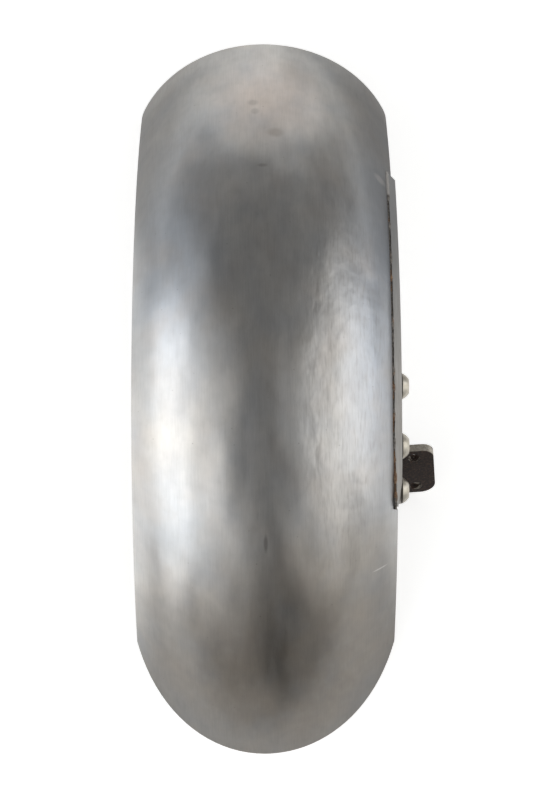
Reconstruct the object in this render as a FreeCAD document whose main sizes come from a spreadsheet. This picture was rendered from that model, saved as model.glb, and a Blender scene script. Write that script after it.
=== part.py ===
import FreeCAD, Part
import math
import os
import re
import Sketcher

# Scooter front fender in millimetres. It is drawn about the wheel's axle, with X across the wheel,
# Y to the rear and Z up, and every piece is then shifted so that the lug's seat lies at the origin.

SIZES = [
    ("half_width", 70.0, "left-hand edge of the shell from the middle plane"),
    ("right_spread", 1.3, "right-hand edge further out than the left-hand one"),
    ("crown_radius", 269.5, "outside of the crown from the axle"),
    ("section_rise", 44.5, "crown above the side edge, along a radius"),
    ("section_spread", 6.0, "section's oval wider than the left-hand edge, each side"),
    ("sheet_gauge", 1.5, "thickness of the shell's sheet"),
    ("rear_angle", 42.3, "rear end from the top, degrees"),
    ("front_angle", 60.0, "sheet drawn forward before the level cut, degrees"),
    ("rear_corner", 4.0, "rounding of the two rear corners"),
    ("rail_stand", 1.6, "outer face of the rail beyond the shell's right-hand edge"),
    ("rail_gauge", 4.0, "thickness of the rail"),
    ("rail_drop", 1.3, "top of the rail below the shell's cut edge, along a radius"),
    ("rail_depth", 17.2, "height of the flat bar"),
    ("rail_rear_angle", 26.5, "rear end of the rail, degrees"),
    ("rail_front_angle", 21.1, "front end of the rail, degrees"),
    ("rear_taper", 4.5, "length of the short bevel at the rail's rear end"),
    ("front_taper", 13.0, "length of the long bevel at the rail's front end"),
    ("front_ground", 6.0, "how far down the front end of the rail is ground"),
    ("taper_land", 0.6, "thickness left at the tip of either bevel"),
    ("ramp_angle", 11.6, "from here to its front end the seam runs outwards, degrees"),
    ("ramp_out", 1.5, "seam runs outwards by this much"),
    ("weld_gap", 1.1, "open seam between shell and rail"),
    ("end_gap", 0.6, "seam at either end of the rail"),
    ("screw_drop", 11.0, "screw centres below the top of the rail"),
    ("screw_rear_angle", 4.95, "rear screw, degrees forward of the top"),
    ("screw_middle_angle", 13.25, "middle screw, degrees forward of the top"),
    ("screw_front_angle", 19.5, "front screw, degrees forward of the top"),
    ("screw_dia", 8.0, "shank of the screw"),
    ("screw_length", 20.0, "screw below its head"),
    ("screw_clearance", 1.0, "added to the shank for its holes"),
    ("head_dia", 14.0, "button head"),
    ("head_height", 4.4, "button head"),
    ("head_rim", 0.9, "straight rim under the dome"),
    ("head_flat", 8.0, "flat on top of the dome"),
    ("dome_radius", 8.0, "curve of the dome"),
    ("socket_width", 5.0, "hexagon socket across its flats"),
    ("socket_depth", 2.6, "hexagon socket"),
    ("washer_dia", 16.0, "plain washer"),
    ("washer_gauge", 1.6, "plain washer"),
    ("washer_clearance", 0.4, "added to the shank for the washer's bore"),
    ("nut_width", 13.0, "hexagon nut across its flats"),
    ("nut_height", 6.8, "hexagon nut"),
    ("nut_face", 12.2, "round face left by the nut's chamfer"),
    ("thread_clearance", 0.1, "added to the shank for the nut's bore"),
    ("bracket_gauge", 4.0, "thickness of the bracket plate"),
    ("bracket_drop", 5.1, "top of the bracket plate below the top of the rail"),
    ("bracket_rear_angle", 1.0, "rear end of the bracket plate, degrees"),
    ("bracket_front_angle", 20.9, "front end of the bracket plate, degrees"),
    ("band_depth", 14.0, "height of the bracket plate at its rear end"),
    ("leg_root", 19.0, "leg's rear root, behind the lug seat"),
    ("leg_rear", 2.0, "leg's rear foot, behind the lug seat"),
    ("leg_front", 19.0, "leg's front foot, forward of the lug seat"),
    ("leg_short", 1.0, "leg's foot above the lower end of the lug"),
    ("leg_corner", 4.0, "rounding of the bracket plate's corners"),
    ("seat_stand", 9.6, "lug seat beyond the outer face of the rail"),
    ("seat_forward", 57.0, "lug seat forward of the axle"),
    ("lug_clearance", 1.31, "lug below the rail"),
    ("lug_rake_angle", 27.0, "lug leans back from upright, degrees"),
    ("lug_cant_angle", 6.2, "lug leans outwards at its lower end, degrees"),
    ("lug_gauge", 4.5, "thickness of the lug"),
    ("lug_length", 39.5, "lug along its rake"),
    ("lug_reach", 10.6, "outer edge of the lug from its holes"),
    ("lug_upper_corner", 6.0, "rounding of the upper outer corner"),
    ("lug_lower_corner", 8.5, "rounding of the lower outer corner"),
    ("lug_hole", 6.6, "two holes in the lug"),
    ("lug_pitch", 26.7, "between the two holes"),
    ("lug_weld", 3.0, "leg of the two welds at the lug's root"),
    ("lug_weld_length", 24.0, "length of the two welds"),
    ("bead_radius", 1.9, "tack weld seen across the seam"),
    ("bead_drop", 1.1, "middle of the tack welds below the top of the rail"),
]

# Tack welds along the seam, in degrees from the top, forward counted as negative. The first few
# run together into one short weld at the rear end of the rail.
BEADS = [25.6, 25.0, 24.4, 23.8, 23.2, 22.6, 17.6, 12.4, 3.1, -3.2, -5.4, -8.9, -12.6, -17.2, -19.6, -20.3]

doc = FreeCAD.newDocument("fender")
sheet = doc.addObject("Spreadsheet::Sheet", "Sizes")
for row, (word, size, note) in enumerate(SIZES, 1):
    sheet.set("A%d" % row, note)
    sheet.set("B%d" % row, str(size))
    sheet.setAlias("B%d" % row, word)
doc.recompute()

WORDS = {word for word, size, note in SIZES}
ACROSS_X = FreeCAD.Rotation(FreeCAD.Vector(0, 1, 0), 90)

# Distances from the middle plane that follow from the shell's width.
DERIVED = {
    "seat_across": "(rail_outer + seat_stand)",
    "rail_outer": "(half_right + rail_stand)",
    "half_right": "(half_width + right_spread)",
    "section_half": "(half_width + section_spread)",
}

# The section is part of an oval: its other half axis makes it pass through crown and side edge.
OVAL = "(section_rise / (1 - sqrt(1 - (half_width / section_half) ^ 2)))"

# The right half of the section is the same oval, drawn out sideways.
SECTION_RIGHT = "(section_half * half_right / half_width)"

# The front edge is level with the rear corners, so that the fender stands on both.
FLOOR = "((crown_radius - section_rise) * cos(rear_angle * 1 deg))"

# The rail follows the shell's cut edge, and what is fixed to the rail hangs from its top.
NOTCH = "(rail_outer - rail_gauge - weld_gap)"
CUT_EDGE = "(crown_radius - %s * (1 - sqrt(1 - (%s / %s) ^ 2)))" % (OVAL, NOTCH, SECTION_RIGHT)
RAIL_TOP = "(%s - rail_drop)" % CUT_EDGE
SCREW_RADIUS = "(%s - screw_drop)" % RAIL_TOP
BRACKET_TOP = "(%s - bracket_drop)" % RAIL_TOP
BEAD_RADIUS = "(%s - bead_drop)" % RAIL_TOP

# The lug's seat lies so that its upper front corner just clears the rail.
RAIL_LOW = "(%s - rail_depth)" % RAIL_TOP
RAKE_SIN = "sin(lug_rake_angle * 1 deg)"
RAKE_COS = "cos(lug_rake_angle * 1 deg)"
LUG_RISE = "(lug_length / 2 * %s)" % RAKE_COS
LUG_FORWARD = "(seat_forward - lug_length / 2 * %s + lug_gauge * %s)" % (RAKE_SIN, RAKE_COS)
LUG_CORNER = "sqrt(%s ^ 2 - %s ^ 2)" % (RAIL_LOW, LUG_FORWARD)
SEAT_HEIGHT = "(%s - %s - lug_gauge * %s - lug_clearance)" % (LUG_CORNER, LUG_RISE, RAKE_SIN)


def link(text):
    """Derived words in a formula become their formula, and sheet words references to the sheet."""
    for word, formula in DERIVED.items():
        text = text.replace(word, formula)
    return re.sub(r"[a-z_]+", lambda m: "Sizes." + m.group() if m.group() in WORDS else m.group(), text)


def value(text):
    found = sheet.evalExpression(link(text))
    return float(getattr(found, "Value", found))


def bind(thing, **formulas):
    for name, text in formulas.items():
        thing.setExpression(name.replace("__", "."), link(text))


def shift(thing, across="0", rear="0", up="0"):
    """Moves a piece from the axle's frame to the frame of the lug's seat."""
    bind(
        thing,
        Placement__Base__x="%s - seat_across" % across,
        Placement__Base__y="%s + seat_forward" % rear,
        Placement__Base__z="%s - %s" % (up, SEAT_HEIGHT),
    )


def new_body(name):
    body = doc.addObject("PartDesign::Body", name)
    body.Label = name
    return body


def new_sketch(body, name, plane):
    sketch = body.newObject("Sketcher::SketchObject", name)
    support = [f for f in body.Origin.OriginFeatures if f.Role == plane][0]
    sketch.AttachmentSupport = [(support, "")]
    sketch.MapMode = "FlatFace"
    return sketch


def pin(sketch, geo, pos, axis, text):
    """Holds one coordinate of a sketch point at a size from the sheet."""
    size = value(text)
    if abs(size) < 1e-9:
        sketch.addConstraint(Sketcher.Constraint("PointOnObject", geo, pos, -2 if axis == "X" else -1))
        return
    ends = (-1, 1, geo, pos) if size > 0 else (geo, pos, -1, 1)
    index = sketch.addConstraint(Sketcher.Constraint("Distance" + axis, *ends, abs(size)))
    sketch.setExpression("Constraints[%d]" % index, link(text if size > 0 else "-(%s)" % text))


def pin_radius(sketch, geo, text):
    index = sketch.addConstraint(Sketcher.Constraint("Radius", geo, value(text)))
    sketch.setExpression("Constraints[%d]" % index, link(text))


def outline(sketch, corners, arcs=None):
    """Draws a closed outline through the corners, each an (x, y) pair of formulas.

    arcs maps a side's number to (radius, x of centre, y of centre, bulge is to the left). A corner whose
    y is None lies on its arc, and only its x is held.
    """
    arcs = arcs or {}
    count = len(corners)
    points = []
    for number, (x, y) in enumerate(corners):
        flat = value(x)
        if y is not None:
            points.append(FreeCAD.Vector(flat, value(y), 0))
            continue
        radius, cx, cy = [value(t) for t in arcs.get(number, arcs.get((number - 1) % count))[:3]]
        points.append(FreeCAD.Vector(flat, cy + math.sqrt(radius ** 2 - (flat - cx) ** 2), 0))
    starts, ends = [], []
    for side in range(count):
        a, b = points[side], points[(side + 1) % count]
        if side not in arcs:
            geo = sketch.addGeometry(Part.LineSegment(a, b), False)
            starts.append((geo, 1))
            ends.append((geo, 2))
            continue
        radius, cx, cy, left = arcs[side]
        centre = FreeCAD.Vector(value(cx), value(cy), 0)
        first, last = (b, a) if left else (a, b)
        angles = [math.atan2(p.y - centre.y, p.x - centre.x) for p in (first, last)]
        circle = Part.Circle(centre, FreeCAD.Vector(0, 0, 1), value(radius))
        geo = sketch.addGeometry(Part.ArcOfCircle(circle, *angles), False)
        starts.append((geo, 2 if left else 1))
        ends.append((geo, 1 if left else 2))
    for side in range(count):
        sketch.addConstraint(Sketcher.Constraint("Coincident", *ends[side], *starts[(side + 1) % count]))
    for side, (radius, cx, cy, left) in arcs.items():
        geo = starts[side][0]
        loose = corners[side][1] is None
        if loose:
            pin(sketch, geo, 3, "X", cx)
            pin(sketch, geo, 3, "Y", cy)
        pin_radius(sketch, geo, radius)
    for number, (x, y) in enumerate(corners):
        pin(sketch, *starts[number], "X", x)
        if y is not None:
            pin(sketch, *starts[number], "Y", y)


def circle(sketch, x, y, diameter):
    centre = FreeCAD.Vector(value(x), value(y), 0)
    geo = sketch.addGeometry(Part.Circle(centre, FreeCAD.Vector(0, 0, 1), value(diameter) / 2), False)
    pin(sketch, geo, 3, "X", x)
    pin(sketch, geo, 3, "Y", y)
    pin_radius(sketch, geo, "(%s) / 2" % diameter)


def add(body, kind, name, sketch, **formulas):
    feature = body.newObject("PartDesign::" + kind, name)
    feature.Profile = sketch
    sketch.Visibility = False
    bind(feature, **formulas)
    return feature


def cut_through(body, name, sketch, upwards=False):
    """A pocket through the whole body, both ways from its sketch or only upwards."""
    before = body.Shape.Volume
    pocket = add(body, "Pocket", name, sketch)
    pocket.Type = 1
    pocket.SideType = "One side" if upwards else "Symmetric"
    pocket.Reversed = upwards
    doc.recompute()
    if body.Shape.Volume > before - 0.01:
        raise RuntimeError(name + " cuts nothing")
    return pocket


def at_angle(radius, angle):
    """The two formulas of a point seen from the side, forward of the top by an angle in degrees."""
    return "-%s * sin(%s * 1 deg)" % (radius, angle), "%s * cos(%s * 1 deg)" % (radius, angle)


# Shell: a shallow oval section carried about the axle

def oval_half(sketch, side, long_half, short_half, end):
    """A quarter of an oval about the shell's middle, between the crown and one side edge.

    It gives back the arc and the oval's level and upright axes, of which either may be the longer.
    """
    middle = "crown_radius - %s" % OVAL
    centre = FreeCAD.Vector(0, value(middle), 0)
    level = FreeCAD.Vector(value(long_half), 0, 0)
    upright = FreeCAD.Vector(0, value(short_half), 0)
    flat = level.Length > upright.Length
    ends = (centre + level, centre + upright) if flat else (centre + upright, centre - level)
    lean = math.asin(value(end) / level.Length)
    top = math.pi / 2 if flat else 0.0
    span = (top - lean, top) if side == "right" else (top, top + lean)
    arc = sketch.addGeometry(Part.ArcOfEllipse(Part.Ellipse(*ends, centre), *span), False)
    sketch.exposeInternalGeometry(arc)
    axes = (arc + 1, arc + 2) if flat else (arc + 2, arc + 1)
    pin(sketch, arc, 3, "X", "0")
    pin(sketch, arc, 3, "Y", middle)
    sketch.addConstraint(Sketcher.Constraint("Horizontal", axes[0]))
    index = sketch.addConstraint(Sketcher.Constraint("Distance", axes[0], 2 * level.Length))
    sketch.setExpression("Constraints[%d]" % index, link("2 * %s" % long_half))
    pin(sketch, arc, 1 if side == "right" else 2, "X", end if side == "right" else "-(%s)" % end)
    return arc, axes


def oval_top(sketch, inset):
    """Both quarters of one wall of the section, meeting at the crown."""
    short = "(%s - %s)" % (OVAL, inset)
    arcs = []
    for side, half, long in (("right", "half_right", SECTION_RIGHT), ("left", "half_width", "section_half")):
        end = "%s * (%s - %s) / %s" % (half, long, inset, long)
        arcs.append(oval_half(sketch, side, "(%s - %s)" % (long, inset), short, end))
    (right, axes), (left, _) = arcs
    pin(sketch, right, 2, "X", "0")
    index = sketch.addConstraint(Sketcher.Constraint("Distance", axes[1], 2 * value(short)))
    sketch.setExpression("Constraints[%d]" % index, link("2 * %s" % short))
    sketch.addConstraint(Sketcher.Constraint("Coincident", left, 1, right, 2))
    return right, left


def make_shell():
    body = new_body("fender_shell")
    section = new_sketch(body, "section", "XZ_Plane")
    outer = oval_top(section, "0")
    inner = oval_top(section, "sheet_gauge")
    for arc_out, arc_in, end in zip(outer, inner, (1, 2)):
        line = Part.LineSegment(section.getPoint(arc_out, end), section.getPoint(arc_in, end))
        edge = section.addGeometry(line, False)
        section.addConstraint(Sketcher.Constraint("Coincident", edge, 1, arc_out, end))
        section.addConstraint(Sketcher.Constraint("Coincident", edge, 2, arc_in, end))
    turn = add(body, "Revolution", "arch", section)
    turn.ReferenceAxis = (section, ["H_Axis"])
    turn.Type = "TwoAngles"
    bind(turn, Angle="rear_angle", Angle2="front_angle")
    doc.recompute()
    if body.Shape.BoundBox.YMax > abs(body.Shape.BoundBox.YMin):
        turn.Reversed = True
        doc.recompute()
    floor = new_sketch(body, "front_floor_line", "YZ_Plane")
    reach = "-1.2 * crown_radius"
    outline(floor, [("0", "0"), ("0", FLOOR), (reach, FLOOR), (reach, "0")])
    cut_through(body, "level_front", floor)
    notch = new_sketch(body, "rail_notch", "XY_Plane")
    beyond = "rail_outer + rail_gauge"
    rear = "%s * sin(rail_rear_angle * 1 deg) + end_gap" % RAIL_TOP
    front = "-%s * sin(rail_front_angle * 1 deg) - end_gap" % RAIL_TOP
    ramp = "-%s * sin(ramp_angle * 1 deg)" % RAIL_TOP
    widest = "%s + ramp_out" % NOTCH
    outline(notch, [(widest, front), (beyond, front), (beyond, rear), (NOTCH, rear), (NOTCH, ramp)])
    cut_through(body, "notch_for_rail", notch)
    corners = []
    for number, edge in enumerate(body.Shape.Edges, 1):
        spot = edge.CenterOfMass
        angle = math.degrees(math.atan2(spot.y, spot.z))
        short = abs(edge.Length - value("sheet_gauge")) < 0.05 * value("sheet_gauge")
        if short and abs(angle - value("rear_angle")) < 0.01 and abs(spot.x) > 0.9 * value("half_width"):
            corners.append("Edge%d" % number)
    if len(corners) != 2:
        raise RuntimeError("the rear corners of the shell were not found")
    rounding = body.newObject("PartDesign::Fillet", "rear_corners")
    rounding.Base = (body.Tip if body.Tip != rounding else rounding.BaseFeature, corners)
    bind(rounding, Radius="rear_corner")
    shift(body)
    return body


# Mounting rail: a curved flat bar, bevelled at both ends, with three screw holes

SCREWS = ["rear", "middle", "front"]


def screw_centre(place):
    return at_angle(SCREW_RADIUS, "screw_%s_angle" % place)


def drill_screws(body, name):
    sketch = new_sketch(body, name + "_circles", "YZ_Plane")
    for place in SCREWS:
        circle(sketch, *screw_centre(place), "screw_dia + screw_clearance")
    cut_through(body, name, sketch)


def ground_plane(body, name):
    """A sketch on the plane to which the rail's front end is ground down, square to a radius there."""
    lean = "(rail_front_angle + ramp_angle) / 2"
    height = "(%s * cos((rail_front_angle - ramp_angle) / 2 * 1 deg) - front_ground)" % RAIL_TOP
    sketch = new_sketch(body, name, "XY_Plane")
    turned = FreeCAD.Rotation(FreeCAD.Vector(1, 0, 0), value(lean))
    sketch.AttachmentOffset = FreeCAD.Placement(FreeCAD.Vector(), turned)
    bind(
        sketch,
        AttachmentOffset__Base__y="-%s * sin(%s * 1 deg)" % (height, lean),
        AttachmentOffset__Base__z="%s * cos(%s * 1 deg)" % (height, lean),
        AttachmentOffset__Rotation__Angle="%s * 1 deg" % lean,
    )
    return sketch


def make_rail():
    body = new_body("mounting_rail")
    side = new_sketch(body, "rail_side", "YZ_Plane")
    outline(
        side,
        [
            ("-%s * sin(rail_front_angle * 1 deg)" % RAIL_TOP, None),
            ("%s * sin(rail_rear_angle * 1 deg)" % RAIL_TOP, None),
            ("%s * sin(rail_rear_angle * 1 deg)" % RAIL_LOW, None),
            ("-%s * sin(rail_front_angle * 1 deg)" % RAIL_LOW, None),
        ],
        {0: (RAIL_TOP, "0", "0", True), 2: (RAIL_LOW, "0", "0", False)},
    )
    bind(side, AttachmentOffset__Base__z="rail_outer - rail_gauge")
    add(body, "Pad", "flat_bar", side, Length="rail_gauge")
    doc.recompute()
    drill_screws(body, "rail_holes")
    inner = "(rail_outer - rail_gauge)"
    beyond = "rail_outer + rail_gauge"
    tip = "%s * sin(rail_rear_angle * 1 deg)" % RAIL_TOP
    rear = new_sketch(body, "rear_bevel_line", "XY_Plane")
    corners = [("%s + taper_land" % inner, tip), ("rail_outer", tip + " - rear_taper")]
    corners += [(beyond, tip + " - rear_taper"), (beyond, tip + " + rear_taper")]
    outline(rear, corners + [("%s + taper_land" % inner, tip + " + rear_taper")])
    cut_through(body, "rear_bevel", rear)
    tip = "-%s * sin((rail_front_angle - ramp_angle) / 2 * 1 deg)" % RAIL_TOP
    front = ground_plane(body, "front_bevel_line")
    corners = [("%s + ramp_out + taper_land" % inner, tip), (beyond, tip), (beyond, tip + " + front_taper")]
    outline(front, corners + [("rail_outer", tip + " + front_taper")])
    cut_through(body, "front_bevel", front, upwards=True)
    ramp = ground_plane(body, "ramp_line")
    corners = [(inner, "-(%s)" % tip), ("%s - taper_land" % inner, "-(%s)" % tip)]
    outline(ramp, corners + [("%s - taper_land" % inner, tip), ("%s + ramp_out" % inner, tip)])
    cut_through(body, "ramp", ramp, upwards=True)
    shift(body)
    return body


# Bracket plate: behind the rail, with a leg that reaches down to the lug

def make_bracket():
    body = new_body("bracket_plate")
    side = new_sketch(body, "bracket_side", "YZ_Plane")
    band = "(%s - band_depth)" % BRACKET_TOP
    root = "(leg_root - seat_forward)"
    foot = "%s - %s + leg_short" % (SEAT_HEIGHT, LUG_RISE)
    outline(
        side,
        [
            ("-%s * sin(bracket_front_angle * 1 deg)" % BRACKET_TOP, None),
            ("-%s * sin(bracket_rear_angle * 1 deg)" % BRACKET_TOP, None),
            ("-%s * sin(bracket_rear_angle * 1 deg)" % BRACKET_TOP, band),
            (root, "sqrt(%s ^ 2 - %s ^ 2)" % (band, root)),
            ("leg_rear - seat_forward", foot),
            ("-(seat_forward + leg_front)", foot),
        ],
        {0: (BRACKET_TOP, "0", "0", True)},
    )
    bind(side, AttachmentOffset__Base__z="rail_outer - rail_gauge - bracket_gauge")
    add(body, "Pad", "bracket_blank", side, Length="bracket_gauge")
    doc.recompute()
    edges = []
    for number, edge in enumerate(body.Shape.Edges, 1):
        ends = [v.Point for v in edge.Vertexes]
        if len(ends) == 2 and abs(abs(ends[0].x - ends[1].x) - value("bracket_gauge")) < 1e-6:
            edges.append("Edge%d" % number)
    rounding = body.newObject("PartDesign::Fillet", "bracket_corners")
    rounding.Base = (rounding.BaseFeature, edges)
    bind(rounding, Radius="leg_corner")
    doc.recompute()
    drill_screws(body, "bracket_holes")
    shift(body)
    return body


# Bracket lug: stands out from the bracket plate, its rear face seats on the fork

LUG_ROOT = "(rail_outer - rail_gauge - seat_across)"
LEAN = FreeCAD.Rotation(FreeCAD.Vector(1, 0, 0), value("90 - lug_rake_angle"))


def make_lug():
    body = new_body("bracket_lug")
    face = new_sketch(body, "lug_face", "XY_Plane")
    half = "lug_length / 2"
    inside = "%s - lug_length / 2" % LUG_ROOT
    outline(
        face,
        [
            (inside, "-" + half),
            ("lug_reach - lug_lower_corner", "-" + half),
            ("lug_reach", "-%s + lug_lower_corner" % half),
            ("lug_reach", "%s - lug_upper_corner" % half),
            ("lug_reach - lug_upper_corner", half),
            (inside, half),
        ],
        {
            1: ("lug_lower_corner", "lug_reach - lug_lower_corner", "-%s + lug_lower_corner" % half, False),
            3: ("lug_upper_corner", "lug_reach - lug_upper_corner", "%s - lug_upper_corner" % half, False),
        },
    )
    for sign in ("", "-"):
        circle(face, "0", sign + "lug_pitch / 2", "lug_hole")
    bind(face, AttachmentOffset__Rotation__Angle="lug_cant_angle * 1 deg")
    add(body, "Pad", "lug_blank", face, Length="lug_gauge")
    doc.recompute()
    root = new_sketch(body, "lug_root_line", "XY_Plane")
    beyond = "%s - 2 * lug_length" % LUG_ROOT
    corners = [(LUG_ROOT, "-lug_length"), (LUG_ROOT, "lug_length")]
    outline(root, corners + [(beyond, "lug_length"), (beyond, "-lug_length")])
    cut_through(body, "lug_root", root)
    body.Placement = FreeCAD.Placement(FreeCAD.Vector(), LEAN)
    bind(body, Placement__Rotation__Angle="(90 - lug_rake_angle) * 1 deg")
    return body


def make_lug_welds():
    """A rounded fillet weld down each side of the lug's root."""
    welds = []
    for name, turn, height in (("front", 0, "lug_gauge"), ("rear", 90, "0")):
        weld = doc.addObject("Part::Cylinder", "lug_weld_" + name)
        spin = FreeCAD.Rotation(FreeCAD.Vector(1, 0, 0), 90)
        weld.Placement.Rotation = FreeCAD.Rotation(FreeCAD.Vector(0, 1, 0), turn).multiply(spin)
        weld.Angle = 90
        bind(
            weld,
            Radius="lug_weld",
            Height="lug_weld_length",
            Placement__Base__x=LUG_ROOT,
            Placement__Base__y="lug_weld_length - lug_length / 2 + lug_weld",
            Placement__Base__z=height,
        )
        welds.append(weld)
    group = doc.addObject("Part::Compound", "lug_welds")
    group.Label = "lug_welds"
    group.Links = welds
    group.Placement = FreeCAD.Placement(FreeCAD.Vector(), LEAN)
    bind(group, Placement__Rotation__Angle="(90 - lug_rake_angle) * 1 deg")
    return group


# Screws, washers and nuts: three of each, on the screw centres

def make_screw(place):
    body = new_body("button_screw_" + place)
    profile = new_sketch(body, "profile_" + place, "XZ_Plane")
    rim = FreeCAD.Vector(value("head_rim"), value("head_dia / 2"), 0)
    flat = FreeCAD.Vector(value("head_height"), value("head_flat / 2"), 0)
    across = flat - rim
    inward = math.sqrt(value("dome_radius") ** 2 - across.Length ** 2 / 4) / across.Length
    centre = (rim + flat) / 2 + FreeCAD.Vector(across.y, -across.x, 0) * inward
    outline(
        profile,
        [
            ("-screw_length", "0"),
            ("-screw_length", "screw_dia / 2"),
            ("0", "screw_dia / 2"),
            ("0", "head_dia / 2"),
            ("head_rim", "head_dia / 2"),
            ("head_height", "head_flat / 2"),
            ("head_height", "0"),
        ],
        {4: ("dome_radius", "%.9f" % centre.x, "%.9f" % centre.y, True)},
    )
    turn = add(body, "Revolution", "turned_" + place, profile)
    turn.ReferenceAxis = (profile, ["H_Axis"])
    turn.Angle = 360
    doc.recompute()
    socket = new_sketch(body, "socket_" + place, "YZ_Plane")
    bind(socket, AttachmentOffset__Base__z="head_height")
    outline(socket, [at_angle("socket_width / sqrt(3)", "(%d)" % turned) for turned in range(10, 370, 60)])
    add(body, "Pocket", "hexagon_" + place, socket, Length="socket_depth")
    doc.recompute()
    shift(body, "rail_outer", *screw_centre(place))
    return body


def group_of(name, pieces):
    group = doc.addObject("Part::Compound", name)
    group.Label = name
    group.Links = pieces
    return group


def ring(name, blank, bore, bore_height):
    hole = doc.addObject("Part::Cylinder", name + "_bore")
    hole.Placement.Rotation = ACROSS_X
    bind(hole, Radius="(%s) / 2" % bore, Height=bore_height)
    made = doc.addObject("Part::Cut", name)
    made.Base = blank
    made.Tool = hole
    return made


def make_washer(place):
    blank = doc.addObject("Part::Cylinder", "washer_blank_" + place)
    blank.Placement.Rotation = ACROSS_X
    bind(blank, Radius="washer_dia / 2", Height="washer_gauge")
    washer = ring("washer_" + place, blank, "screw_dia + washer_clearance", "washer_gauge")
    stack = "rail_outer - rail_gauge - bracket_gauge - washer_gauge"
    shift(washer, stack, *screw_centre(place))
    return washer


def make_nut(place):
    prism = doc.addObject("Part::Prism", "nut_prism_" + place)
    prism.Polygon = 6
    prism.Placement.Rotation = ACROSS_X
    bind(prism, Circumradius="nut_width / sqrt(3)", Height="nut_height")
    cone = doc.addObject("Part::Cone", "nut_chamfer_" + place)
    cone.Placement.Rotation = ACROSS_X
    bind(
        cone,
        Radius1="nut_face / 2",
        Radius2="nut_face / 2 + nut_height / tan(30 deg)",
        Height="nut_height",
    )
    blank = doc.addObject("Part::MultiCommon", "nut_blank_" + place)
    blank.Shapes = [prism, cone]
    nut = ring("nut_" + place, blank, "screw_dia + thread_clearance", "nut_height")
    stack = "rail_outer - rail_gauge - bracket_gauge - washer_gauge - nut_height"
    shift(nut, stack, *screw_centre(place))
    return nut


# Tack welds: short plugs of weld that bridge the open seam between shell and rail

def make_tacks():
    ramp = "%s * sin(ramp_angle * 1 deg)" % RAIL_TOP
    run = "(%s * sin(rail_front_angle * 1 deg) + end_gap - %s)" % (RAIL_TOP, ramp)
    slope = math.degrees(math.atan(value("ramp_out / %s" % run)))
    along_ramp = FreeCAD.Rotation(FreeCAD.Vector(0, 0, 1), slope).multiply(ACROSS_X)
    beads = []
    for number, angle in enumerate(BEADS, 1):
        bead = doc.addObject("Part::Cylinder", "bead_%02d" % number)
        rear, up = at_angle(BEAD_RADIUS, "(%g)" % -angle)
        out, length, turned = "0", "weld_gap", ACROSS_X
        if -angle > value("ramp_angle"):
            out = "ramp_out * (-(%s) - %s) / %s" % (rear, ramp, run)
            length = "weld_gap * cos(%g deg)" % slope
            turned = along_ramp
        bead.Placement.Rotation = turned
        bind(bead, Radius="bead_radius", Height=length)
        shift(bead, "%s + %s" % (NOTCH, out), rear, up)
        beads.append(bead)
    tacks = doc.addObject("Part::MultiFuse", "tack_welds")
    tacks.Label = "tack_welds"
    tacks.Shapes = beads
    return tacks


def main():
    pieces = [make_shell(), make_rail(), make_tacks(), make_bracket(), make_lug(), make_lug_welds()]
    pieces.append(group_of("button_screws", [make_screw(place) for place in SCREWS]))
    pieces.append(group_of("plain_washers", [make_washer(place) for place in SCREWS]))
    pieces.append(group_of("hex_nuts", [make_nut(place) for place in SCREWS]))
    doc.recompute()
    for thing in doc.Objects:
        if "Invalid" in thing.State or "Error" in thing.State:
            raise RuntimeError("%s failed: %s" % (thing.Label, thing.State))
    os.makedirs("parts", exist_ok=True)
    for piece in pieces:
        if piece.Shape.isNull() or not piece.Shape.isValid():
            raise RuntimeError(piece.Label + " has no sound shape")
        piece.Shape.exportStep("parts/%s.step" % piece.Label)
        box = piece.Shape.BoundBox
        print(piece.Label, len(piece.Shape.Solids), round(piece.Shape.Volume), box)


main()
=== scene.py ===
import math

import bpy
from mathutils import Matrix, Vector


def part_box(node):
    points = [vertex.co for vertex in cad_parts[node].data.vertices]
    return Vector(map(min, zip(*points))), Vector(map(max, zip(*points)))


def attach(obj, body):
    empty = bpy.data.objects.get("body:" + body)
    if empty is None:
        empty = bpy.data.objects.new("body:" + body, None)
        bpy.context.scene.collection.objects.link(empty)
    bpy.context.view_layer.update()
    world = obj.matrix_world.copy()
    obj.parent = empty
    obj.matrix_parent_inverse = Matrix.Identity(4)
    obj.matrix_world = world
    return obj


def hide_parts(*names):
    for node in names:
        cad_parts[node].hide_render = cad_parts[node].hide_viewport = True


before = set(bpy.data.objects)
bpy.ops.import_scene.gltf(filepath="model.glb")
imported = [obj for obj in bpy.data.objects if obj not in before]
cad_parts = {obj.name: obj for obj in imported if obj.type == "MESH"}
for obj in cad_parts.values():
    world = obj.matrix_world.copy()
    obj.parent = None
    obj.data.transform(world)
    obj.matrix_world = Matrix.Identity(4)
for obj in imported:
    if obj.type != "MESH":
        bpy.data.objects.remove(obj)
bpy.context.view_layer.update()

# Fender shell: one sheet of bare mild steel, wheeled into an arch that is curved both ways and
# sanded lengthwise. Nothing coats it, so it shows grinding grain, heat tint and hand marks.

mm = 0.001
axle = Vector((-82.5, 57.0, -185.9)) * mm
crown_radius = 269.5 * mm


def hex_colour(text):
    """An sRGB hex colour as linear red, green, blue and alpha."""
    parts = [int(text[i:i + 2], 16) / 255 for i in (1, 3, 5)]
    return [c / 12.92 if c <= 0.04045 else ((c + 0.055) / 1.055) ** 2.4 for c in parts] + [1.0]


def add_node(tree, kind, inputs, output=0, **settings):
    """Adds one node and gives back one of its outputs. An input given as a socket is linked."""
    node = tree.nodes.new(kind)
    for name, setting in settings.items():
        setattr(node, name, setting)
    for name, given in inputs.items():
        if isinstance(given, bpy.types.NodeSocket):
            tree.links.new(given, node.inputs[name])
        else:
            node.inputs[name].default_value = given
    return node.outputs[output]


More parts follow.
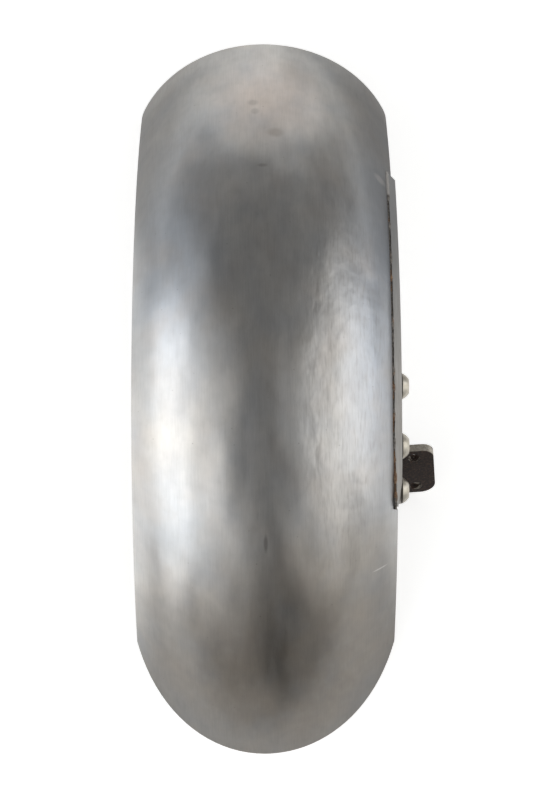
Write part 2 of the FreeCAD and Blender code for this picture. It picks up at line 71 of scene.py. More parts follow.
def new_material(name):
    """An empty material, with the tree, its shader and the place of each point on the piece."""
    material = bpy.data.materials.new(name)
    material.use_nodes = True
    tree = material.node_tree
    place = add_node(tree, "ShaderNodeTexCoord", {}, output="Object")
    return material, tree, tree.nodes["Principled BSDF"], place


def unroll(tree, place):
    """The sheet laid flat: across the wheel from its middle, and along the arch to the rear."""
    about = add_node(tree, "ShaderNodeVectorMath", {0: place, 1: axle}, operation="SUBTRACT")
    apart = add_node(tree, "ShaderNodeSeparateXYZ", {0: about}).node.outputs
    turn = add_node(tree, "ShaderNodeMath", {0: apart[1], 1: apart[2]}, operation="ARCTAN2")
    along = add_node(tree, "ShaderNodeMath", {0: turn, 1: crown_radius}, operation="MULTIPLY")
    return add_node(tree, "ShaderNodeCombineXYZ", {0: apart[0], 1: along, 2: 0.0})


def streaks(tree, flat, across, along, detail):
    """Noise drawn out along the arch, its marks about so wide and so long."""
    drawn = add_node(tree, "ShaderNodeMapping", {0: flat, 3: (1 / across, 1 / along, 1.0)})
    return add_node(tree, "ShaderNodeTexNoise", {"Vector": drawn, "Scale": 1.0, "Detail": detail})


def spot(tree, flat, across, along, wide, long):
    """A soft oval on the flat sheet, 1 in its middle and 0 at its rim, placed and sized in mm."""
    where, size = (across * mm, along * mm, 0.0), (wide * mm, long * mm, 1.0)
    centred = add_node(tree, "ShaderNodeMapping", {0: flat, 1: where, 3: size}, vector_type="TEXTURE")
    return add_node(tree, "ShaderNodeTexGradient", {0: centred}, output=1, gradient_type="SPHERICAL")


# Bare mild steel, rolled and sanded: a grey metal whose lengthwise grain spreads every reflection.
# Heat has left it blue-grey on the flanks and brown towards the ends. The darker brown patch at the
# front end is a painted dark reflection, and two pale ovals at the rear corners of the flanks are a
# painted reflection of the pale backdrop.
sheet_steel, tree, shader, place = new_material("sanded bare mild steel")
flat = unroll(tree, place)
mottle = streaks(tree, flat, 14 * mm, 22 * mm, 4.0)
mottle = add_node(tree, "ShaderNodeMapRange", {0: mottle, 1: 0.3, 2: 0.7})
greys = {0: mottle, 6: hex_colour("#ACABAA"), 7: hex_colour("#BAB8B4")}
colour = add_node(tree, "ShaderNodeMix", greys, output=2, data_type="RGBA")
tints_and_painted_reflections = [
    # colour, share, across, along, half width, half length
    ("#A2A8B0", 0.90, -48, 40, 34, 90),
    ("#A2A7AF", 0.95, 66, 10, 32, 150),
    ("#A7ADB3", 0.55, -46, -104, 30, 40),
    ("#A5A8AC", 0.60, -36, 118, 26, 34),
    ("#BBADA3", 0.60, 4, 146, 36, 44),
    # painted dark reflection at the front end, tinted brown
    ("#A3988A", 0.70, 10, -185, 90, 80),
    ("#A9A196", 0.60, 34, -128, 44, 50),
    # painted reflection of the pale backdrop at the rear corners of both flanks
    ("#D6D4D0", 0.80, -50, 200, 44, 24),
    ("#D6D4D0", 0.90, 50, 200, 46, 26),
]
for tint, share, across, along, wide, long in tints_and_painted_reflections:
    oval = spot(tree, flat, across, along, wide, long)
    oval = add_node(tree, "ShaderNodeMapRange", {0: oval, 2: 0.7, 4: share})
    patchy = add_node(tree, "ShaderNodeMapRange", {0: mottle, 3: 0.75, 4: 1.0})
    weight = add_node(tree, "ShaderNodeMath", {0: oval, 1: patchy}, operation="MULTIPLY")
    layers = {0: weight, 6: colour, 7: hex_colour(tint)}
    colour = add_node(tree, "ShaderNodeMix", layers, output=2, data_type="RGBA")

# Faint stains, warm and cool in turn, cloud the whole sheet.
clouds = streaks(tree, flat, 5 * mm, 7 * mm, 5.0)
warmth = streaks(tree, flat, 24 * mm, 30 * mm, 3.0)
stains = [
    # how it is spread, from, to, share, colour
    (clouds, 0.50, 0.75, 0.17, "#8C8A88"),
    (clouds, 0.48, 0.25, 0.15, "#C8C6C2"),
    (warmth, 0.50, 0.70, 0.22, "#B3A698"),
    (warmth, 0.48, 0.30, 0.20, "#9FA7B0"),
]
for spread, low, high, share, tint in stains:
    weight = add_node(tree, "ShaderNodeMapRange", {0: spread, 1: low, 2: high, 4: share})
    layers = {0: weight, 6: colour, 7: hex_colour(tint)}
    colour = add_node(tree, "ShaderNodeMix", layers, output=2, data_type="RGBA")

# Marks of handling: finger smudges near the rear, a heat stain, a scored dash on the crown, a pale
# scratch near the right-hand edge, and the spot where the weld at the rail's end was dressed.
marks = [
    # colour, share, across, along, half width, half length
    ("#8E8B86", 0.40, -5, 141, 3.4, 2.8),
    ("#8E8B86", 0.42, -4, 134, 2.8, 3.0),
    ("#8E857C", 0.36, 7, 118, 5.4, 4.0),
    ("#7A7671", 0.40, 0, 95, 3.2, 1.4),
    ("#6A6662", 0.45, 1, -108, 1.3, 5.5),
    ("#DEDCD8", 0.70, 61, -134, 5.0, 0.6),
    ("#CFCDCB", 0.70, 64, 112, 4.0, 3.4),
]
for tint, share, across, along, wide, long in marks:
    oval = spot(tree, flat, across, along, wide, long)
    oval = add_node(tree, "ShaderNodeMapRange", {0: oval, 2: 0.5, 4: share})
    layers = {0: oval, 6: colour, 7: hex_colour(tint)}
    colour = add_node(tree, "ShaderNodeMix", layers, output=2, data_type="RGBA")

# The right-hand flank was planished after welding: small facets and coarser sanding marks. Fine
# specks of dirt lie all over, and the polish varies along the grain. The grit's own lines are too
# fine to show, so both kinds of sanding mark are drawn wider than they are.
worked = add_node(tree, "ShaderNodeMapRange", {0: spot(tree, flat, 42, -22, 30, 135), 2: 0.45})
grain = streaks(tree, flat, 0.7 * mm, 14 * mm, 3.0)
coarse = streaks(tree, flat, 1.1 * mm, 9 * mm, 4.0)
scored = add_node(tree, "ShaderNodeMapRange", {0: coarse, 1: 0.48, 2: 0.72, 4: 0.28})
scored = add_node(tree, "ShaderNodeMath", {0: scored, 1: worked}, operation="MULTIPLY")
sanded = add_node(tree, "ShaderNodeMapRange", {0: grain, 1: 0.4, 2: 0.75, 4: 0.14})
dotted = {"Vector": flat, "Scale": 1 / (26 * mm)}
dots = add_node(tree, "ShaderNodeTexVoronoi", dotted, voronoi_dimensions="2D")
specks = add_node(tree, "ShaderNodeMapRange", {0: dots, 1: 0.006, 2: 0.018, 3: 0.45, 4: 0.0})
specks = add_node(tree, "ShaderNodeMath", {0: specks, 1: mottle}, operation="MULTIPLY")
for weight, tint in ((sanded, "#7F7C78"), (scored, "#77726C"), (specks, "#56504A")):
    layers = {0: weight, 6: colour, 7: hex_colour(tint)}
    colour = add_node(tree, "ShaderNodeMix", layers, output=2, data_type="RGBA")
tree.links.new(colour, shader.inputs["Base Color"])
shader.inputs["Metallic"].default_value = 1.0
polish = {0: streaks(tree, flat, 6 * mm, 30 * mm, 4.0), 1: 0.25, 2: 0.75, 3: 0.29, 4: 0.37}
tree.links.new(add_node(tree, "ShaderNodeMapRange", polish), shader.inputs["Roughness"])
facets = streaks(tree, flat, 7 * mm, 13 * mm, 2.0)
facets = add_node(tree, "ShaderNodeMath", {0: facets, 1: worked}, operation="MULTIPLY")
waves = streaks(tree, flat, 30 * mm, 55 * mm, 0.8)

# The two halves of the sheet are faceted apart, which would show as a crease along the crown. There
# the slope of the oval section replaces the facets' own, on the outside and on the inside.
crown_slope = 0.0124 / mm
crown_half = 11 * mm
crown_rise = crown_half * crown_slope
facing = add_node(tree, "ShaderNodeNewGeometry", {}, output="Normal")
leaning = add_node(tree, "ShaderNodeSeparateXYZ", {0: facing}).node.outputs
aside = add_node(tree, "ShaderNodeSeparateXYZ", {0: flat})
rise = {0: aside, 1: -crown_half, 2: crown_half, 3: -crown_rise, 4: crown_rise}
rise = add_node(tree, "ShaderNodeMapRange", rise)
outward = add_node(tree, "ShaderNodeMath", {0: leaning[2]}, operation="SIGN")
rise = add_node(tree, "ShaderNodeMath", {0: rise, 1: outward}, operation="MULTIPLY")
lack = add_node(tree, "ShaderNodeMath", {0: rise, 1: leaning[0]}, operation="SUBTRACT")
aside = add_node(tree, "ShaderNodeMath", {0: aside}, operation="ABSOLUTE")
close = {0: aside, 1: 0.5 * crown_half, 2: crown_half, 3: 1.0, 4: 0.0}
close = add_node(tree, "ShaderNodeMapRange", close, interpolation_type="SMOOTHSTEP")
lack = add_node(tree, "ShaderNodeMath", {0: lack, 1: close}, operation="MULTIPLY")
lack = add_node(tree, "ShaderNodeCombineXYZ", {0: lack})
normal = add_node(tree, "ShaderNodeVectorMath", {0: facing, 1: lack}, operation="ADD")
normal = add_node(tree, "ShaderNodeVectorMath", {0: normal}, operation="NORMALIZE")
for height, depth in ((waves, 2.2 * mm), (facets, 0.35 * mm), (grain, 0.008 * mm)):
    normal = add_node(tree, "ShaderNodeBump", {"Height": height, "Distance": depth, "Normal": normal})
tree.links.new(normal, shader.inputs["Normal"])
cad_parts["fender_shell"].data.materials[0] = sheet_steel

# Mounting rail: a curved flat bar of mild steel, let into the edge of the shell and welded from
# below. Its top edge was ground after welding, darkest where it was dressed into the shell at the
# rear end, and its inner edge is burnt by the weld.

rail_low, rail_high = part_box("mounting_rail")
burn_width = 0.3 * mm

# Ground steel: the grit leaves it pale and rather dull, with dark scale where the weld ran.
bar_steel, tree, shader, place = new_material("ground mild steel bar")
flat = unroll(tree, place)
ground = streaks(tree, flat, 1.4 * mm, 24 * mm, 4.0)
ground = add_node(tree, "ShaderNodeMapRange", {0: ground, 1: 0.3, 2: 0.7})
greys = {0: ground, 6: hex_colour("#DEDBD6"), 7: hex_colour("#C6C2BB")}
colour = add_node(tree, "ShaderNodeMix", greys, output=2, data_type="RGBA")
dressed = spot(tree, flat, 68, 112, 40, 130)
dressed = add_node(tree, "ShaderNodeMapRange", {0: dressed, 2: 0.8, 4: 0.85})
layers = {0: dressed, 6: colour, 7: hex_colour("#9A9B9C")}
colour = add_node(tree, "ShaderNodeMix", layers, output=2, data_type="RGBA")
ragged = add_node(tree, "ShaderNodeTexNoise", {"Vector": place, "Scale": 1 / (5 * mm), "Detail": 5.0})
across = add_node(tree, "ShaderNodeSeparateXYZ", {0: place})
edges = {0: ragged, 1: 0.35, 2: 0.75, 3: rail_low[0], 4: rail_low[0] + burn_width}
reach = add_node(tree, "ShaderNodeMapRange", edges)
inside = add_node(tree, "ShaderNodeMath", {0: reach, 1: across}, operation="SUBTRACT")
burnt = add_node(tree, "ShaderNodeMapRange", {0: inside, 1: -0.1 * mm, 2: 0.1 * mm})
layers = {0: burnt, 6: colour, 7: hex_colour("#3A332E")}
colour = add_node(tree, "ShaderNodeMix", layers, output=2, data_type="RGBA")
tree.links.new(colour, shader.inputs["Base Color"])
metal = add_node(tree, "ShaderNodeMapRange", {0: burnt, 3: 0.12, 4: 0.0})
tree.links.new(metal, shader.inputs["Metallic"])
shader.inputs["Roughness"].default_value = 0.5
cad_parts["mounting_rail"].data.materials[0] = bar_steel

# Seam welds: short beads in the open seam between shell and rail, over the root of the weld that
# was run from below. They are grey with scale, brown with rust, and dressed flush at the rear end.

seam_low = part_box("tack_welds")[0][0]
seam_half = 0.55 * mm
rail_top = 230.5 * mm
root_half = seam_half + 0.15 * mm
root_depth = 1.0 * mm
ramp_out = 1.5 * mm
arc_steps, ramp_steps = 300, 76
bead_half_width, bead_half_height = seam_half + 0.1 * mm, 1.4 * mm
lump_size, lump_height = 1.6 * mm, 0.5 * mm

# The top of the rail is a radius about the axle. These are turns about it, in degrees to the rear
# of the top: the ends of the root run, the start of its ramp, and where the flush beads begin.
root_rear, ramp_start, root_front = 26.6, -11.6, -21.5
flush_from = 22.4


def at_turn(radius, degrees):
    """The place of a point of the seam, by its turn about the axle to the rear of the top."""
    out = max(0.0, (degrees - ramp_start) / (root_front - ramp_start)) * ramp_out
    turn = math.radians(degrees)
    aside = Vector((seam_low + seam_half + out, axle.y, axle.z))
    return aside + Vector((0, math.sin(turn), math.cos(turn))) * radius


bpy.ops.object.select_all(action="DESELECT")
bpy.ops.mesh.primitive_circle_add(
    vertices=12,
    radius=root_half,
    location=at_turn(rail_top - root_depth, root_rear),
    rotation=(-math.radians(90 + root_rear), 0, 0),
)
seam_weld = bpy.context.object
seam_weld.name = "seam_welds"
bpy.ops.object.transform_apply(location=True, rotation=True)
bpy.ops.object.mode_set(mode="EDIT")
bpy.ops.mesh.select_all(action="SELECT")
arc = math.radians(ramp_start - root_rear)
bpy.ops.mesh.spin(steps=arc_steps, angle=arc, center=axle, axis=(1, 0, 0))
for number in range(ramp_steps):
    turn = ramp_start + (root_front - ramp_start) * number / ramp_steps
    further = ramp_start + (root_front - ramp_start) * (number + 1) / ramp_steps
    step = at_turn(rail_top - root_depth, further) - at_turn(rail_top - root_depth, turn)
    bpy.ops.mesh.extrude_region_move(TRANSFORM_OT_translate={"value": step})
bpy.ops.mesh.select_all(action="SELECT")
bpy.ops.mesh.fill_holes(sides=0)
bpy.ops.mesh.normals_make_consistent(inside=False)
bpy.ops.object.mode_set(mode="OBJECT")

beads = [
    # turn, length, depth below the top of the rail
    (26.4, 1.2, 0.6), (25.3, 3.0, 0.6), (24.3, 2.6, 0.6), (23.3, 2.8, 0.6), (22.4, 2.4, 0.8),
    (17.6, 2.0, 1.3), (12.4, 2.6, 1.2), (9.6, 1.6, 1.5), (3.1, 2.4, 1.2), (1.2, 1.8, 1.4),
    (-3.2, 2.2, 1.2), (-5.4, 1.7, 1.1), (-8.9, 2.6, 1.3), (-12.6, 2.3, 1.1), (-14.8, 1.6, 1.5),
    (-17.2, 2.6, 1.2), (-19.8, 2.2, 1.2),
]
bpy.ops.object.select_all(action="DESELECT")
bpy.ops.mesh.primitive_cube_add(size=2.0, scale=(bead_half_width, 1.0 * mm, bead_half_height))
bead = bpy.context.object
bpy.ops.object.transform_apply(scale=True)
bpy.ops.object.mode_set(mode="EDIT")
bpy.ops.mesh.select_all(action="SELECT")
bpy.ops.mesh.subdivide(number_cuts=5, smoothness=0.7)
bpy.ops.object.mode_set(mode="OBJECT")
bead_copies = []
for number, (turn, length, depth) in enumerate(beads):
    copy = bpy.data.objects.new("bead_%02d" % number, bead.data.copy())
    bpy.context.scene.collection.objects.link(copy)
    longer = Matrix.Diagonal((1.0, length, 1.0, 1.0))
    rolled = Matrix.Rotation(-math.radians(turn), 4, "X")
    copy.data.transform(Matrix.Translation(at_turn(rail_top - depth * mm, turn)) @ rolled @ longer)
    bead_copies.append(copy)
bpy.data.objects.remove(bead)
bpy.ops.object.select_all(action="DESELECT")
for piece in bead_copies + [seam_weld]:
    piece.select_set(True)
bpy.context.view_layer.objects.active = seam_weld
bpy.ops.object.join()
lumps = bpy.data.textures.new("weld_lumps", "CLOUDS")
lumps.noise_scale = lump_size
ripple = seam_weld.modifiers.new("lumps", "DISPLACE")
ripple.texture = lumps
ripple.texture_coords = "LOCAL"
ripple.strength = lump_height
bpy.ops.object.modifier_apply(modifier="lumps")
bpy.ops.object.shade_smooth()

# Weld scale and rust: matt dark grey with brown bloom in patches, and bare where it was dressed.
weld_rust, tree, shader, place = new_material("rusted weld bead")
patch = add_node(tree, "ShaderNodeTexNoise", {"Vector": place, "Scale": 1 / (9 * mm), "Detail": 4.0})
fine = add_node(tree, "ShaderNodeTexNoise", {"Vector": place, "Scale": 1 / (1.2 * mm), "Detail": 3.0})
fine = add_node(tree, "ShaderNodeMapRange", {0: fine, 1: 0.35, 2: 0.65})
rusty = add_node(tree, "ShaderNodeMapRange", {0: patch, 1: 0.52, 2: 0.60})
rear = add_node(tree, "ShaderNodeSeparateXYZ", {0: place}, output=1)
flush_rear = at_turn(rail_top, flush_from).y
dressed = add_node(tree, "ShaderNodeMapRange", {0: rear, 1: flush_rear, 2: flush_rear + 1.5 * mm})
scale = {0: fine, 6: hex_colour("#57534F"), 7: hex_colour("#8B857D")}
colour = add_node(tree, "ShaderNodeMix", scale, output=2, data_type="RGBA")
bloom = {0: fine, 6: hex_colour("#6A4D38"), 7: hex_colour("#9A7C60")}
rust = add_node(tree, "ShaderNodeMix", bloom, output=2, data_type="RGBA")
for weight, tint in ((rusty, rust), (dressed, hex_colour("#B7B4B0"))):
    layers = {0: weight, 6: colour, 7: tint}
    colour = add_node(tree, "ShaderNodeMix", layers, output=2, data_type="RGBA")
tree.links.new(colour, shader.inputs["Base Color"])
metal = add_node(tree, "ShaderNodeMapRange", {0: dressed, 4: 0.6})
tree.links.new(metal, shader.inputs["Metallic"])
shader.inputs["Roughness"].default_value = 0.6
seam_weld.data.materials.append(weld_rust)
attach(seam_weld, "root")
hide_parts("tack_welds")

# Bracket: a plate behind the rail and a drilled lug welded on it, cut from hot-rolled plate that
# keeps its dark mill scale. The sawn edges and the drilled holes are bare where they are worn.

lug_rake = math.radians(27.0)
lug_facing = Vector((0, math.cos(lug_rake), -math.sin(lug_rake)))

# Mill scale is a dark brown-black crust, dull and speckled; a cut edge is bare grey steel.
for name, facing in (("bracket_plate", Vector((1, 0, 0))), ("bracket_lug", lug_facing)):
    scale_steel, tree, shader, place = new_material("mill scale on " + name.replace("_", " "))
    fine = {"Vector": place, "Scale": 1 / (1.1 * mm), "Detail": 5.0}
    fine = add_node(tree, "ShaderNodeTexNoise", fine)
    patch = {"Vector": place, "Scale": 1 / (6 * mm), "Detail": 3.0}
    patch = add_node(tree, "ShaderNodeTexNoise", patch)
    speckle = add_node(tree, "ShaderNodeMapRange", {0: fine, 1: 0.42, 2: 0.72})
    browns = {0: speckle, 6: hex_colour("#211713"), 7: hex_colour("#4A362B")}
    crust = add_node(tree, "ShaderNodeMix", browns, output=2, data_type="RGBA")
    greys = {0: speckle, 6: hex_colour("#B5AFA5"), 7: hex_colour("#8C867C")}
    bare = add_node(tree, "ShaderNodeMix", greys, output=2, data_type="RGBA")
    turned = add_node(tree, "ShaderNodeNewGeometry", {}, output="True Normal")
    sides = {0: turned, 1: facing}
    share = add_node(tree, "ShaderNodeVectorMath", sides, output="Value", operation="DOT_PRODUCT")
    squared = add_node(tree, "ShaderNodeMath", {0: share, 1: 2.0}, operation="POWER")
    edge = add_node(tree, "ShaderNodeMapRange", {0: squared, 1: 0.35, 2: 0.15})
    across = add_node(tree, "ShaderNodeSeparateXYZ", {0: place})
    outer = {0: across, 1: -8 * mm, 2: 5 * mm, 3: -0.12, 4: 0.16}
    outer = add_node(tree, "ShaderNodeMapRange", outer)
    rubbed = add_node(tree, "ShaderNodeMath", {0: patch, 1: outer}, operation="ADD")
    rubbed = add_node(tree, "ShaderNodeMapRange", {0: rubbed, 1: 0.46, 2: 0.54})
    worn = add_node(tree, "ShaderNodeMath", {0: edge, 1: rubbed}, operation="MULTIPLY")
    layers = {0: worn, 6: crust, 7: bare}
    colour = add_node(tree, "ShaderNodeMix", layers, output=2, data_type="RGBA")
    tree.links.new(colour, shader.inputs["Base Color"])
    tree.links.new(worn, shader.inputs["Metallic"])
    shader.inputs["Roughness"].default_value = 0.55
    shader.inputs["Specular IOR Level"].default_value = 0.2
    pits = {"Height": fine, "Strength": 0.5, "Distance": 0.08 * mm}
    pitted = add_node(tree, "ShaderNodeBump", pits)
    tree.links.new(pitted, shader.inputs["Normal"])
    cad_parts[name].data.materials[0] = scale_steel

# Lug welds: two fillet beads that hold the lug on its plate, left as they were laid, with the
# ripples of each pool of weld showing.

root_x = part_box("bracket_lug")[0][0]
lug_gauge = 4.5 * mm
bead_length = 24.0 * mm
bead_start = -16.7 * mm
bead_radius = 2.2 * mm
ripples, ripple_swell = 24, 1.12
down_lug = Vector((0, math.sin(lug_rake), math.cos(lug_rake)))
lug_beads = []
for out in (-lug_gauge, 0.0):
    bpy.ops.object.select_all(action="DESELECT")
    start = Vector((root_x, 0, 0)) + lug_facing * out + down_lug * bead_start
    lean = (-lug_rake, 0, 0)
    bpy.ops.mesh.primitive_circle_add(vertices=16, radius=bead_radius, location=start, rotation=lean)
    lug_bead = bpy.context.object
    bpy.ops.object.transform_apply(location=True, rotation=True)
    bpy.ops.object.mode_set(mode="EDIT")
    bpy.ops.mesh.select_all(action="SELECT")
    for number in range(2 * ripples):
        step = down_lug * bead_length / (2 * ripples)
        bpy.ops.mesh.extrude_region_move(TRANSFORM_OT_translate={"value": step})
        swell = ripple_swell if number % 2 == 0 else 1 / ripple_swell
        bpy.ops.transform.resize(value=(swell, swell, swell))
    bpy.ops.mesh.select_all(action="SELECT")
    bpy.ops.mesh.fill_holes(sides=0)
    bpy.ops.mesh.normals_make_consistent(inside=False)
    bpy.ops.object.mode_set(mode="OBJECT")
    lug_beads.append(lug_bead)
for piece in lug_beads:
    piece.select_set(True)
bpy.context.view_layer.objects.active = lug_beads[0]
bpy.ops.object.join()
lug_bead = bpy.context.object
lug_bead.name = "lug_weld_beads"
bpy.ops.object.shade_smooth()

# Weld metal as laid: grey, half bright, straw and brown where it was hottest.
weld_steel, tree, shader, place = new_material("weld bead as laid")
patch = add_node(tree, "ShaderNodeTexNoise", {"Vector": place, "Scale": 1 / (4 * mm), "Detail": 3.0})
patch = add_node(tree, "ShaderNodeMapRange", {0: patch, 1: 0.4, 2: 0.6})
greys = {0: patch, 6: hex_colour("#4A4440"), 7: hex_colour("#857B6C")}
colour = add_node(tree, "ShaderNodeMix", greys, output=2, data_type="RGBA")
tree.links.new(colour, shader.inputs["Base Color"])
shader.inputs["Metallic"].default_value = 1.0
shader.inputs["Roughness"].default_value = 0.45
lug_bead.data.materials.append(weld_steel)
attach(lug_bead, "root")
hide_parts("lug_welds")

# Screws, washers and nuts: stainless button-head screws from the outside, with plain washers and
# hexagon nuts behind the bracket plate. The rim under each dome is dark brown.

head_seat = rail_high[0]
head_rim = 0.8 * mm

# Satin stainless steel: pale and slightly warm, with soft highlights.
stainless, tree, shader, place = new_material("satin stainless steel")
patch = add_node(tree, "ShaderNodeTexNoise", {"Vector": place, "Scale": 1 / (3 * mm), "Detail": 3.0})
patch = add_node(tree, "ShaderNodeMapRange", {0: patch, 1: 0.35, 2: 0.65})
greys = {0: patch, 6: hex_colour("#BDB8AD"), 7: hex_colour("#ABA598")}
colour = add_node(tree, "ShaderNodeMix", greys, output=2, data_type="RGBA")
across = add_node(tree, "ShaderNodeSeparateXYZ", {0: place})
# The thin rim under each dome is coloured dark brown and made duller.
above = add_node(tree, "ShaderNodeMapRange", {0: across, 1: head_seat - 0.1 * mm, 2: head_seat})
rim_top = head_seat + head_rim
below = {0: across, 1: rim_top, 2: rim_top + 0.15 * mm, 3: 1.0, 4: 0.0}
below = add_node(tree, "ShaderNodeMapRange", below)
dark_rim = add_node(tree, "ShaderNodeMath", {0: above, 1: below}, operation="MULTIPLY")
layers = {0: dark_rim, 6: colour, 7: hex_colour("#3A342D")}
colour = add_node(tree, "ShaderNodeMix", layers, output=2, data_type="RGBA")
tree.links.new(colour, shader.inputs["Base Color"])
metal = add_node(tree, "ShaderNodeMapRange", {0: dark_rim, 3: 1.0, 4: 0.2})
tree.links.new(metal, shader.inputs["Metallic"])
shader.inputs["Roughness"].default_value = 0.36
for name in ("button_screws", "plain_washers", "hex_nuts"):
    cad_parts[name].data.materials[0] = stainless

# Stage: a wide pale floor that the fender stands on, a dim room that only looks white, soft boxes
# on either side and low ones behind, and cards that temper the floor's reflection in the sheet.

floor_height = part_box("fender_shell")[0][2]
floor_radius = 12.0
bpy.ops.object.select_all(action="DESELECT")
bpy.ops.mesh.primitive_circle_add(
    vertices=96,
    radius=floor_radius,
    fill_type="NGON",
    location=(0, 0, floor_height),
)
floor = bpy.context.object
floor.name = "studio_floor"
bpy.ops.object.transform_apply(location=True)

# Matt white paper, lit by the soft boxes. Its glow lights nothing: it is only seen, directly or in a
# reflection, and grows to full white far from the part.
paper, tree, shader, place = new_material("matt white paper")
paper_glow = 0.58
white_start, white_end = 0.6, 1.1
path = add_node(tree, "ShaderNodeLightPath", {}).node.outputs
distance = add_node(tree, "ShaderNodeVectorMath", {0: place}, output="Value", operation="LENGTH")
seen = {0: distance, 1: white_start, 2: white_end, 3: paper_glow, 4: 1.0}
seen = add_node(tree, "ShaderNodeMapRange", seen, interpolation_type="SMOOTHSTEP")
seen = add_node(tree, "ShaderNodeMath", {0: path["Is Camera Ray"], 1: seen}, operation="MULTIPLY")
passed = {0: path["Is Glossy Ray"], 1: path["Is Transmission Ray"]}
passed = add_node(tree, "ShaderNodeMath", passed, operation="MAXIMUM")
passed = add_node(tree, "ShaderNodeMath", {0: passed, 1: paper_glow}, operation="MULTIPLY")
glow = add_node(tree, "ShaderNodeMath", {0: seen, 1: passed}, operation="MAXIMUM")
lit = add_node(tree, "ShaderNodeBsdfDiffuse", {"Color": hex_colour("#F2F2F0")})
white = add_node(tree, "ShaderNodeEmission", {"Color": (1, 1, 1, 1), "Strength": glow})
mixed = add_node(tree, "ShaderNodeAddShader", {0: lit, 1: white})
tree.links.new(mixed, tree.nodes["Material Output"].inputs["Surface"])
floor.data.materials.append(paper)

room = bpy.data.worlds.new("dim studio")
room.use_nodes = True
room_light = 0.23
tree = room.node_tree
backdrop = tree.nodes["Background"]
path = add_node(tree, "ShaderNodeLightPath", {}).node.outputs
seen = add_node(tree, "ShaderNodeMapRange", {0: path["Is Camera Ray"], 3: room_light, 4: 1.0})
tree.links.new(seen, backdrop.inputs["Strength"])
backdrop.inputs["Color"].default_value = (1, 1, 1, 1)
bpy.context.scene.world = room

aim = Vector((-80.08, 39.85, 4.1)) * mm
lamp_distance = 0.95


def toward(azimuth, rise):
    """The direction from the fender to a lamp."""
    side, up = math.radians(azimuth), math.radians(rise)
    return Vector((math.cos(side) * math.cos(up), math.sin(side) * math.cos(up), math.sin(up)))


soft_boxes = [
    # name, azimuth, elevation, radiance, length, height
    ("left_low_box", 188, 14, 2.4, 0.85, 0.50),
    ("left_middle_box", 194, 42, 1.05, 0.76, 0.40),
    ("left_high_box", 198, 61, 0.35, 0.55, 0.28),
    ("left_front_box", 224, 32, 0.75, 0.42, 0.66),
    ("front_left_box", 244, 34, 0.32, 0.26, 0.55),
    ("left_rear_box", 152, 22, 0.5, 0.40, 0.45),
    ("right_low_box", 2, 16, 1.6, 0.66, 0.55),
    ("right_middle_box", -4, 43, 1.0, 0.66, 0.40),
    ("right_high_box", -8, 63, 0.4, 0.50, 0.30),
    ("right_front_box", -32, 28, 0.85, 0.40, 0.60),
    ("front_right_box", -53, 34, 0.28, 0.28, 0.55),
    ("right_rear_box", 28, 26, 0.45, 0.30, 0.50),
    ("rear_box", 90, 10, 0.8, 0.85, 0.45),
    ("rear_left_box", 122, 6, 0.48, 0.28, 0.30),
    ("rear_right_box", 60, 6, 0.34, 0.24, 0.30),
]
for name, azimuth, rise, radiance, length, height in soft_boxes:
    lamp = bpy.data.lights.new(name, "AREA")
    lamp.shape = "RECTANGLE"
    lamp.size = length
    lamp.size_y = height
    lamp.energy = radiance * math.pi * length * height
    box = bpy.data.objects.new(name, lamp)
    bpy.context.scene.collection.objects.link(box)
    box.location = aim + lamp_distance * toward(azimuth, rise)
    box.rotation_euler = toward(azimuth, rise).to_track_quat("Z", "Y").to_euler()
    box.visible_camera = False

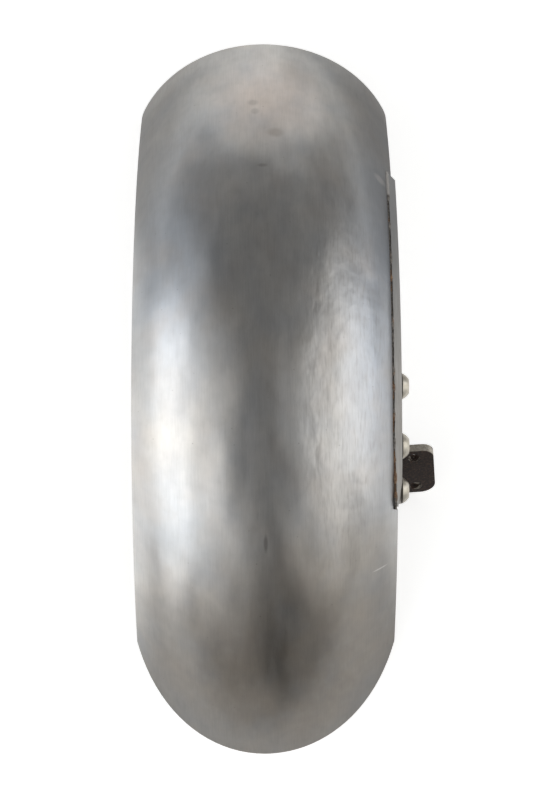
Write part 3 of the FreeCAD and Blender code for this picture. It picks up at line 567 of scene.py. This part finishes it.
cards = [
    # name, middle in X, Y and height, tilt, width, depth, white share, glow
    ("left_white_card", -380, -15, 0.1, 0, 440, 190, 0.90, 0.95),
    ("front_left_card", -330, -428, 0.2, 0, 500, 743, 0.90, 0.0),
    ("front_right_card", 170, -412, 0.2, 0, 500, 775, 0.90, 0.0),
    ("rear_left_card", -410, 245, 0.2, 0, 600, 280, 0.86, 0.0),
    ("rear_right_card", 240, 240, 0.2, 0, 600, 290, 0.60, 0.0),
    ("far_left_card", -525, 700, 0.15, 0, 750, 640, 0.90, 0.25),
    ("far_right_card", 360, 700, 0.15, 0, 750, 640, 0.60, 0.15),
    ("front_dark_card", 70, -800, 300, 90, 300, 300, 0.02, 0.0),
]
soft_edge = 70 * mm
for name, across, along, up, tilt, width, depth, grey, glow in cards:
    bpy.ops.object.select_all(action="DESELECT")
    bpy.ops.mesh.primitive_plane_add(
        size=1.0,
        location=(across * mm, along * mm, floor_height + up * mm),
        rotation=(math.radians(tilt), 0, 0),
    )
    card = bpy.context.object
    card.name = name
    card.scale = (width * mm, depth * mm, 1.0)
    bpy.ops.object.transform_apply(location=True, rotation=True, scale=True)

    # Matt board; the left white card glows white and the far cards glow faintly, seen only in the
    # sheet's reflections. On the floor it fades out towards its front and rear edges, so that no edge
    # is reflected, and the upright one stays whole.
    board, tree, shader, place = new_material("matt board of " + name)
    inward = add_node(tree, "ShaderNodeSeparateXYZ", {0: place}, output=1)
    inward = add_node(tree, "ShaderNodeMath", {0: inward, 1: along * mm}, operation="SUBTRACT")
    inward = add_node(tree, "ShaderNodeMath", {0: inward}, operation="ABSOLUTE")
    fade = {0: inward, 1: depth * mm / 2 - soft_edge, 2: depth * mm / 2, 3: 1.0, 4: 0.0}
    fade = add_node(tree, "ShaderNodeMapRange", fade, interpolation_type="SMOOTHSTEP")
    board_and_glow = add_node(tree, "ShaderNodeBsdfDiffuse", {"Color": (grey, grey, grey, 1)})
    bright = add_node(tree, "ShaderNodeEmission", {"Color": (1, 1, 1, 1), "Strength": glow})
    board_and_glow = add_node(tree, "ShaderNodeAddShader", {0: board_and_glow, 1: bright})
    clear = add_node(tree, "ShaderNodeBsdfTransparent", {})
    faded = add_node(tree, "ShaderNodeMixShader", {0: fade, 1: clear, 2: board_and_glow})
    tree.links.new(faded, tree.nodes["Material Output"].inputs["Surface"])
    card.data.materials.append(board)
    card.visible_camera = False
    card.visible_diffuse = False
    card.visible_shadow = False

# Camera: nearly straight above, leaning a little to the front, as the fender was photographed. Its
# place and lens were fitted to the outline in the photograph.

elevation = math.radians(79.88)
away = 917.69 * mm
roll = math.radians(-0.24)
lens = bpy.data.cameras.new("camera")
lens.sensor_fit = "VERTICAL"
lens.sensor_height = 36.0
lens.lens = 76.47
camera = bpy.data.objects.new("camera", lens)
bpy.context.scene.collection.objects.link(camera)
back = Vector((0, -math.cos(elevation), math.sin(elevation)))
turned = Matrix.Rotation(math.pi / 2 - elevation, 4, "X") @ Matrix.Rotation(roll, 4, "Z")
camera.matrix_world = Matrix.Translation(aim + away * back) @ turned
bpy.context.scene.camera = camera
bpy.context.scene.view_settings.view_transform = "Standard"
